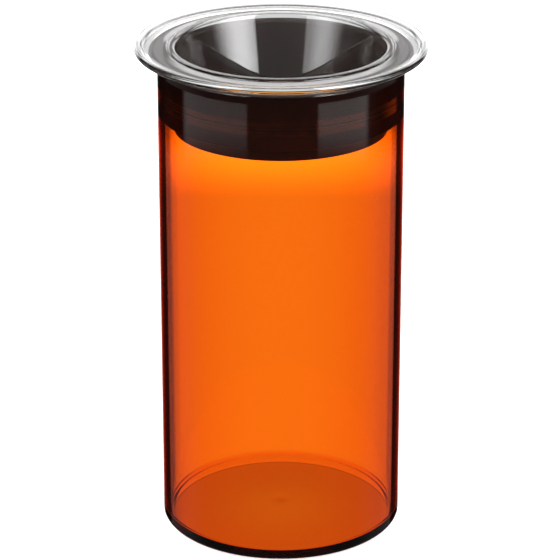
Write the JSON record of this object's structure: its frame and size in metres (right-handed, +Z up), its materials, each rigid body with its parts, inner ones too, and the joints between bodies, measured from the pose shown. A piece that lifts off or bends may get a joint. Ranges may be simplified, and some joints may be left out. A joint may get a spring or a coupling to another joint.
{
  "type": "apothecary jar",
  "caption": "Tall straight-sided amber glass jar with a clear glass stopper lid: a dished flange rests on the seal's thin brim, which lies on the rim and a ribbed silicone seal round the bowl grips the mouth.",
  "frame": {"origin": "centre of the jar's foot, on the plane that it stands on", "axes": "+Z up the jar's axis, towards the lid; the object is the same all round, so +X and +Y are free"},
  "size_m": [0.109, 0.109, 0.1914],
  "materials": {
    "amber_glass": "clear amber glass, coloured through, fire-polished rim and smooth walls",
    "clear_glass": "colourless glass, polished, soft waviness from forming",
    "silicone": "dark brown moulded silicone, satin"
  },
  "bodies": {
    "jar": {"jar_body": "amber_glass"},
    "lid": {"glass_lid": "clear_glass"},
    "seal": {"lid_seal": "silicone"}
  },
  "joints": [
    {"name": "lid_lift", "type": "slide", "parent": "jar", "child": "seal", "axis": [0, 0, 1], "range_m": [0, 0.1]},
    {"name": "lid_unseat", "type": "slide", "parent": "seal", "child": "lid", "axis": [0, 0, 1], "range_m": [0, 0.04]}
  ]
}
